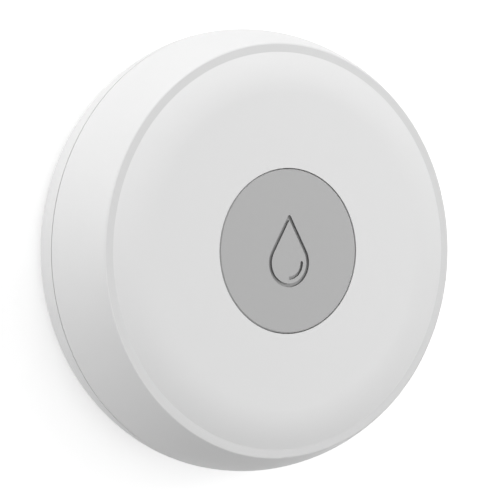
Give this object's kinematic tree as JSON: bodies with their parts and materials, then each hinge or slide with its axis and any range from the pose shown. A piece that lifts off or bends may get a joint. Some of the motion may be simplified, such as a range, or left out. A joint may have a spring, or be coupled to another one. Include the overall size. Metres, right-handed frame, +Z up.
{
  "type": "water leak sensor",
  "caption": "Round battery-powered water leak sensor with a drop-marked centre button and metal probes underneath.",
  "frame": {"origin": "centre of the circle through the probe tips, on the surface that they rest on", "axes": "+Z up out of the face; the drop on the button points its tip towards +Y"},
  "size_m": [0.065, 0.065, 0.0192],
  "materials": {
    "shell_white": "fine satin moulding",
    "button_grey": "fine satin moulding",
    "silicone": "soft translucent silicone",
    "seal_rubber": "dull black rubber",
    "screw_steel": "zinc plated",
    "probe_gold": "gold plated and turned",
    "board_green": "solder mask on glass-fibre board",
    "black_plastic": "moulded black plastic",
    "plunger_plastic": "natural moulded plastic",
    "led_resin": "clear resin over a pale base",
    "shield_steel": "tin plated",
    "ceramic": "fired ceramic",
    "passive_brown": "fired ceramic with tinned ends",
    "can_aluminium": "drawn can",
    "tray_plastic": "moulded dark plastic",
    "cell_sleeve": "metallised sleeve on a steel can",
    "contact_nickel": "nickel plated strip",
    "finger_bronze": "phosphor bronze strip"
  },
  "bodies": {
    "cover": {"rear_cover": "shell_white", "sealing_ring": "seal_rubber", "cover_screws": "screw_steel", "screw_seals": "seal_rubber", "probe_seals": "seal_rubber", "probe_nuts": "probe_gold", "leak_probe_1": "probe_gold", "leak_probe_2": "probe_gold", "leak_probe_3": "probe_gold", "leak_probe_4": "probe_gold"},
    "housing": {"front_shell": "shell_white", "button_boot": "silicone", "board_screws": "screw_steel", "main_board": "board_green", "radio_board": "board_green", "switch_body": "black_plastic", "controller_chip": "black_plastic", "status_led": "led_resin", "radio_shield": "shield_steel", "chip_antenna": "ceramic", "board_passives": "passive_brown", "bulk_capacitor": "can_aluminium", "battery_tray": "tray_plastic", "battery_cell_1": "cell_sleeve", "battery_cell_2": "cell_sleeve", "positive_terminal": "contact_nickel", "negative_terminal": "contact_nickel", "cell_bridge": "contact_nickel", "probe_contact_1": "finger_bronze", "probe_contact_2": "finger_bronze", "probe_contact_3": "finger_bronze", "probe_contact_4": "finger_bronze"},
    "button": {"button_cap": "button_grey"},
    "plunger": {"switch_plunger": "plunger_plastic"}
  },
  "joints": [
    {"name": "housing_lift_off", "type": "slide", "parent": "cover", "child": "housing", "axis": [0, 0, 1], "range_m": [0, 0.025]},
    {"name": "button_press", "type": "slide", "parent": "housing", "child": "button", "axis": [0, 0, -1], "range_m": [0, 0.00035], "stiffness_N_per_m": 3000, "springref_m": -0.0003, "deforming": ["button_boot"]},
    {"name": "plunger_press", "type": "slide", "parent": "housing", "child": "plunger", "axis": [0, 0, -1], "range_m": [0, 0.00035]}
  ],
  "couplings": [
    {"joint": "plunger_press", "follows": "button_press", "ratio": 1}
  ]
}
